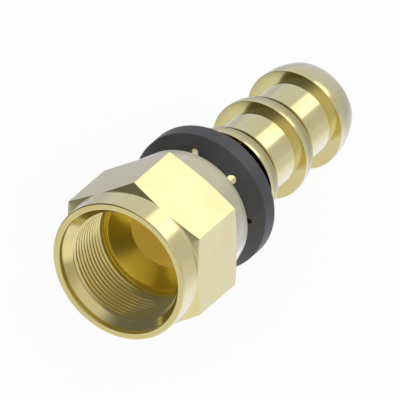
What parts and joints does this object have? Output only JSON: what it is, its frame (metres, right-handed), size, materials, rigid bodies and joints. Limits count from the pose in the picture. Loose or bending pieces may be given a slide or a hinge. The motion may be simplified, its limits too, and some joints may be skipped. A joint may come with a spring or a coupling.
{
  "type": "barbed swivel hose fitting",
  "caption": "Brass hose fitting with a hexagon swivel nut, a conical seat, a barbed tail and a black plastic collar for the hose end.",
  "frame": {"origin": "on the fitting's axis, where the full thread of the nut starts", "axes": "+X along the axis from the nut's mouth to the hose end, +Z out of one flat of the nut"},
  "size_m": [0.0562, 0.0256, 0.0222],
  "materials": {
    "tail_brass": "polished",
    "nut_brass": "polished",
    "black_plastic": "moulded, slightly satin"
  },
  "bodies": {
    "tail": {"tailpiece": "tail_brass", "collar_ring": "black_plastic"},
    "nut": {"swivel_nut": "nut_brass"}
  },
  "joints": [
    {"name": "nut_spin", "type": "hinge", "parent": "tail", "child": "nut", "pos_m": [0.015, 0, 0], "axis": [1, 0, 0], "continuous": true}
  ]
}
